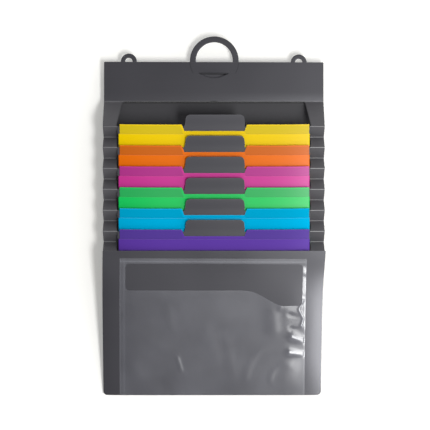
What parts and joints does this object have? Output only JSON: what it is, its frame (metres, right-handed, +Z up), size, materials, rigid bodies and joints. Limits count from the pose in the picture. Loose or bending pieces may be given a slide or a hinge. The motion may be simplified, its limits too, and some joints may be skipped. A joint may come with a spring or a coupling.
{
  "type": "cascading wall file organizer",
  "caption": "Wall-hung plastic file organizer: a grey header with hanging rings, tabbed coloured pockets cascading down pleated side gussets, and a grey front cover with a clear pocket.",
  "frame": {"origin": "The middle of the header's back face, which hangs against the wall.", "axes": "+X to the right seen from the front, +Y into the wall, +Z up; the front faces -Y."},
  "size_m": [0.362, 0.056, 0.5908],
  "materials": {
    "grey_poly": "dark grey polypropylene sheet with a fine matte grain",
    "yellow_poly": "satin yellow polypropylene sheet",
    "orange_poly": "satin orange polypropylene sheet",
    "magenta_poly": "satin magenta polypropylene sheet",
    "green_poly": "satin green polypropylene sheet",
    "blue_poly": "satin blue polypropylene sheet",
    "purple_poly": "satin purple polypropylene sheet",
    "clear_film": "thin clear glossy film, slightly hazy and rippled"
  },
  "bodies": {
    "header": {"header_back": "grey_poly", "header_front": "grey_poly", "hanger_ring": "grey_poly", "left_hanger_loop": "grey_poly", "right_hanger_loop": "grey_poly"},
    "file_back": {"back_panel": "grey_poly", "left_gusset_head": "grey_poly", "right_gusset_head": "grey_poly", "left_gusset_pleats": "grey_poly", "right_gusset_pleats": "grey_poly", "yellow_divider_tab": "grey_poly", "yellow_pocket_back": "yellow_poly", "yellow_pocket_front": "yellow_poly"},
    "orange_pocket": {"orange_divider_tab": "grey_poly", "orange_pocket_back": "orange_poly", "orange_pocket_front": "orange_poly"},
    "magenta_pocket": {"magenta_divider_tab": "grey_poly", "magenta_pocket_back": "magenta_poly", "magenta_pocket_front": "magenta_poly"},
    "green_pocket": {"green_divider_tab": "grey_poly", "green_pocket_back": "green_poly", "green_pocket_front": "green_poly"},
    "blue_pocket": {"blue_divider_tab": "grey_poly", "blue_pocket_back": "blue_poly", "blue_pocket_front": "blue_poly"},
    "purple_pocket": {"purple_divider_tab": "grey_poly", "purple_pocket_back": "purple_poly", "purple_pocket_front": "purple_poly"},
    "cover": {"front_cover": "grey_poly", "clear_pocket": "clear_film"}
  },
  "joints": [
    {"name": "header_fold", "type": "hinge", "parent": "header", "child": "file_back", "pos_m": [0, -0.0037, -0.033], "axis": [-1, 0, 0], "range_deg": [0, 105]},
    {"name": "cover_lift", "type": "slide", "parent": "file_back", "child": "cover", "axis": [0, -0.2091, 0.9779], "range_m": [0, 0.1766], "deforming": ["left_gusset_pleats", "right_gusset_pleats"]},
    {"name": "orange_lift", "type": "slide", "parent": "file_back", "child": "orange_pocket", "axis": [0, -0.2091, 0.9779], "range_m": [0, 0.02944]},
    {"name": "magenta_lift", "type": "slide", "parent": "file_back", "child": "magenta_pocket", "axis": [0, -0.2091, 0.9779], "range_m": [0, 0.05888]},
    {"name": "green_lift", "type": "slide", "parent": "file_back", "child": "green_pocket", "axis": [0, -0.2091, 0.9779], "range_m": [0, 0.08831]},
    {"name": "blue_lift", "type": "slide", "parent": "file_back", "child": "blue_pocket", "axis": [0, -0.2091, 0.9779], "range_m": [0, 0.11775]},
    {"name": "purple_lift", "type": "slide", "parent": "file_back", "child": "purple_pocket", "axis": [0, -0.2091, 0.9779], "range_m": [0, 0.14718]}
  ],
  "couplings": [
    {"joint": "orange_lift", "follows": "cover_lift", "ratio": 0.16667},
    {"joint": "magenta_lift", "follows": "cover_lift", "ratio": 0.33333},
    {"joint": "green_lift", "follows": "cover_lift", "ratio": 0.5},
    {"joint": "blue_lift", "follows": "cover_lift", "ratio": 0.66667},
    {"joint": "purple_lift", "follows": "cover_lift", "ratio": 0.83333}
  ]
}
